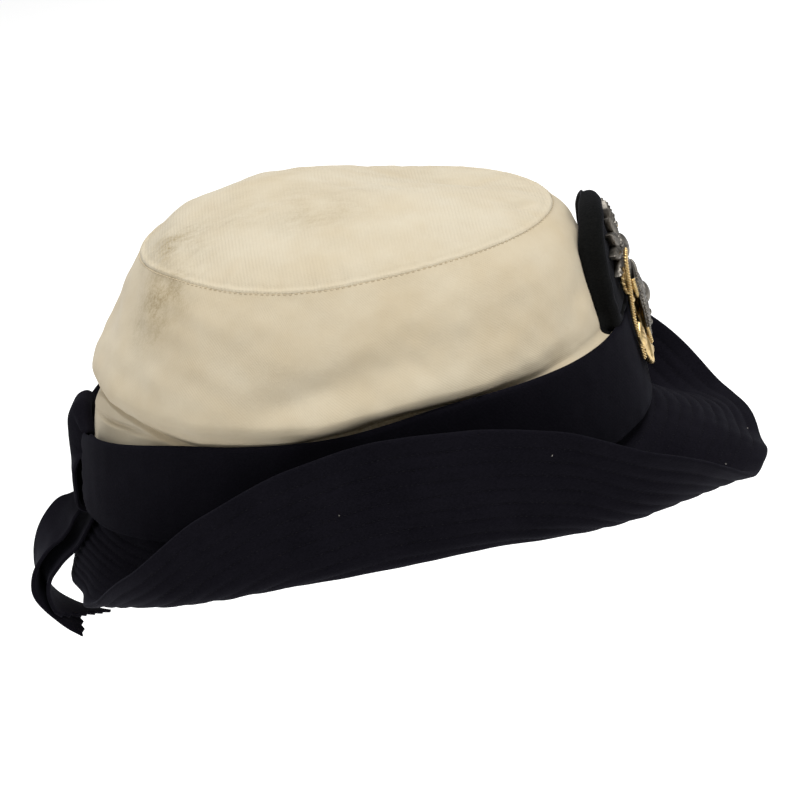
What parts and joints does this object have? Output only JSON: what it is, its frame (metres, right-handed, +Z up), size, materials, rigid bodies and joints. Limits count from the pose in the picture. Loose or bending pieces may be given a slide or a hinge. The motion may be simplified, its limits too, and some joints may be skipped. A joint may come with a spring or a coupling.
{
  "type": "naval officer hat",
  "caption": "Women's naval officer hat: soft cream cotton cover, navy wool band with tied tails, stitched navy brim rolled up at the sides, anchor device on a padded backing.",
  "frame": {"origin": "centre of the head opening, level with the lower edge of the band", "axes": "+X to the front, +Y to the wearer's left, +Z up"},
  "size_m": [0.2893, 0.195, 0.1624],
  "materials": {
    "navy_wool": "matt wool",
    "cream_cotton": "aged cotton twill",
    "black_cloth": "matt padded cloth",
    "gilt": "gilt, worn",
    "silvered": "silvered, tarnished"
  },
  "bodies": {
    "root": {"brim": "navy_wool", "cover_side": "cream_cotton", "cover_top": "cream_cotton", "hat_band": "navy_wool", "bow_loop": "navy_wool", "bow_tail_outer": "navy_wool", "bow_tail_inner": "navy_wool", "badge_pad": "black_cloth", "badge_anchors": "gilt", "badge_crest": "silvered"}
  },
  "joints": []
}
